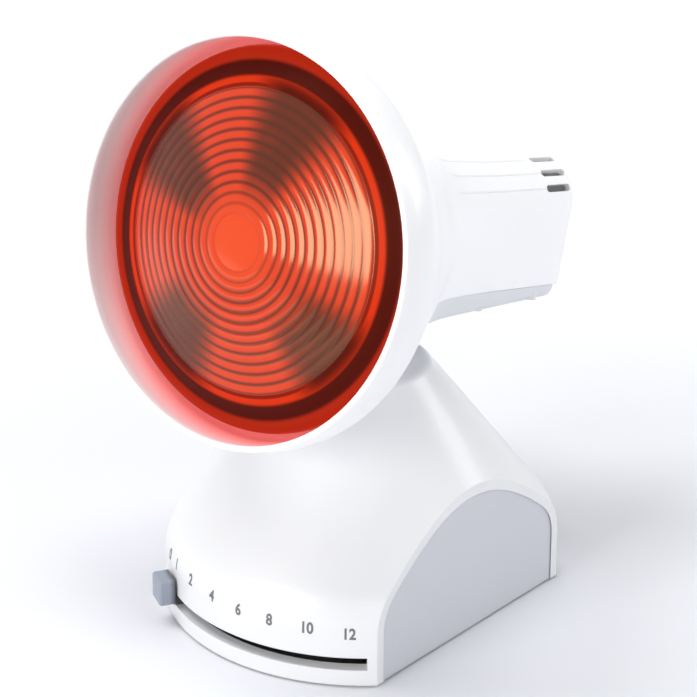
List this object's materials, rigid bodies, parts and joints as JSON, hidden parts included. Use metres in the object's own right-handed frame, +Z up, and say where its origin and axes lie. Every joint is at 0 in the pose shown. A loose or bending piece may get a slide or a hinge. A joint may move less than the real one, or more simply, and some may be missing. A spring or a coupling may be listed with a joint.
{
  "type": "infrared heat lamp",
  "caption": "White infrared heat lamp with a tilting head, a ribbed red bulb and a round base with a minute slider.",
  "frame": {"origin": "on the table, under the centre of the round base", "axes": "-Y to the front, where the minute scale is; +X to the side; +Z up"},
  "size_m": [0.1322, 0.1627, 0.2114],
  "materials": {
    "white_shell": "smooth satin white",
    "side_grey": "satin pale grey",
    "grey_knob": "satin slate grey",
    "dark_tray": "matt dark olive grey",
    "rubber_feet": "matt",
    "steel": "zinc plated",
    "brass": "satin",
    "black_plastic": "matt",
    "white_fitting": "satin white",
    "lead_cover": "matt",
    "ceramic": "glazed white",
    "red_glass": "deep red pressed glass with rings",
    "silvered_glass": "silvered inside",
    "lamp_metal": "spun",
    "filament": "tungsten"
  },
  "bodies": {
    "base": {"base_shell": "white_shell", "side_cover_left": "side_grey", "side_cover_right": "side_grey", "base_plate": "dark_tray", "base_feet": "rubber_feet", "plate_screws": "steel", "timer_case": "steel", "timer_cover": "steel", "timer_screws": "steel", "spring_barrel": "brass", "mainspring": "steel", "switch_block": "black_plastic", "contact_blades": "brass", "bell_gong": "steel", "bell_post": "brass", "terminal_block": "white_fitting", "cable_gland": "white_fitting", "gland_nut": "white_fitting", "base_lead": "lead_cover", "pivot_bolt": "steel", "pivot_nut": "steel", "friction_washers": "rubber_feet"},
    "slider": {"timer_shaft": "steel", "slider_arm": "dark_tray", "slider_knob": "grey_knob", "drive_gear": "brass", "switch_cam": "white_fitting"},
    "escapement": {"escape_wheel": "brass"},
    "head": {"head_shell": "white_shell", "bottom_cover": "white_shell", "cover_screws": "steel", "lamp_holder": "ceramic", "holder_sleeve": "brass", "holder_contact": "brass", "holder_bracket": "steel", "holder_screws": "steel", "bulb_lens": "red_glass", "bulb_reflector": "silvered_glass", "bulb_skirt": "lamp_metal", "bulb_cap": "lamp_metal", "bulb_insulator": "black_plastic", "bulb_contact": "steel", "bulb_filament": "filament", "filament_posts": "steel", "head_lead": "lead_cover"}
  },
  "joints": [
    {"name": "head_tilt", "type": "hinge", "parent": "base", "child": "head", "pos_m": [0, 0, 0.078], "axis": [1, 0, 0], "range_deg": [-15.7, 15.7]},
    {"name": "timer_slide", "type": "hinge", "parent": "base", "child": "slider", "pos_m": [0, 0, 0.01], "axis": [0, 0, 1], "range_deg": [-4, 67]},
    {"name": "escape_turn", "type": "hinge", "parent": "base", "child": "escapement", "pos_m": [0.01098, 0.01901, 0.02], "axis": [0, 0, 1], "range_deg": [-340, 25]}
  ],
  "couplings": [
    {"joint": "escape_turn", "follows": "timer_slide", "ratio": -5}
  ]
}
